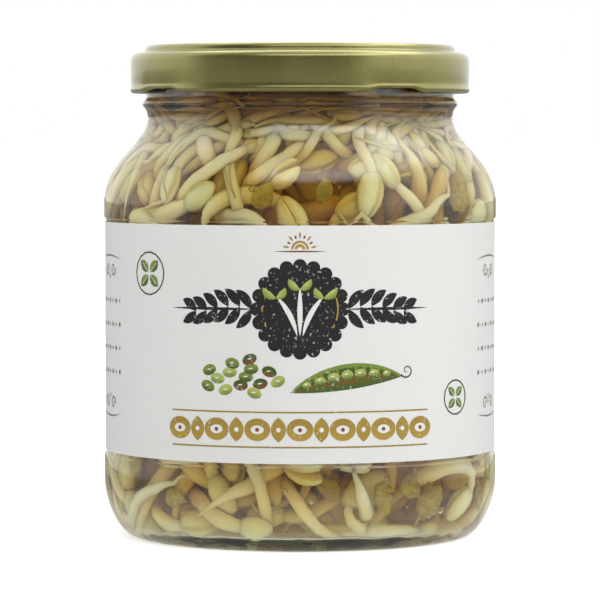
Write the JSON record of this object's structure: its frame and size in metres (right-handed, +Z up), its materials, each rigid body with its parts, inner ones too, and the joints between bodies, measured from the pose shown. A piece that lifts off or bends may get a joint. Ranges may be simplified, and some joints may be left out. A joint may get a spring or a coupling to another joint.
{
  "type": "jar of bean sprouts",
  "caption": "Clear glass jar with a metal twist-off lid and a paper label, filled with bean sprouts standing in pale brine.",
  "frame": {"origin": "centre of the ring of glass that the jar stands on, at the surface it stands on", "axes": "+Z up along the jar's axis, -Y towards the front of the label, +X to the right seen from the front"},
  "size_m": [0.0798, 0.0798, 0.0996],
  "materials": {
    "clear_glass": "clear, smooth, faintly green",
    "lid_tinplate": "satin gold lacquer",
    "lid_compound": "matt sealing compound",
    "label_paper": "coated white paper with a printed design",
    "brine": "clear pale yellow liquid",
    "sprout_flesh": "moist, translucent, cream stems with yellow seed leaves"
  },
  "bodies": {
    "jar": {"jar_glass": "clear_glass", "label": "label_paper", "brine": "brine", "bean_sprouts": "sprout_flesh"},
    "seal": {"lid_seal": "lid_compound"},
    "lid": {"lid": "lid_tinplate"}
  },
  "joints": [
    {"name": "lid_rise", "type": "slide", "parent": "jar", "child": "seal", "axis": [0, 0, 1], "range_m": [0, 0.0024]},
    {"name": "lid_turn", "type": "hinge", "parent": "seal", "child": "lid", "pos_m": [0, 0, 0.095], "axis": [0, 0, 1], "range_deg": [0, 67]}
  ],
  "couplings": [
    {"joint": "lid_rise", "follows": "lid_turn", "m_per_rad": 0.002052}
  ]
}
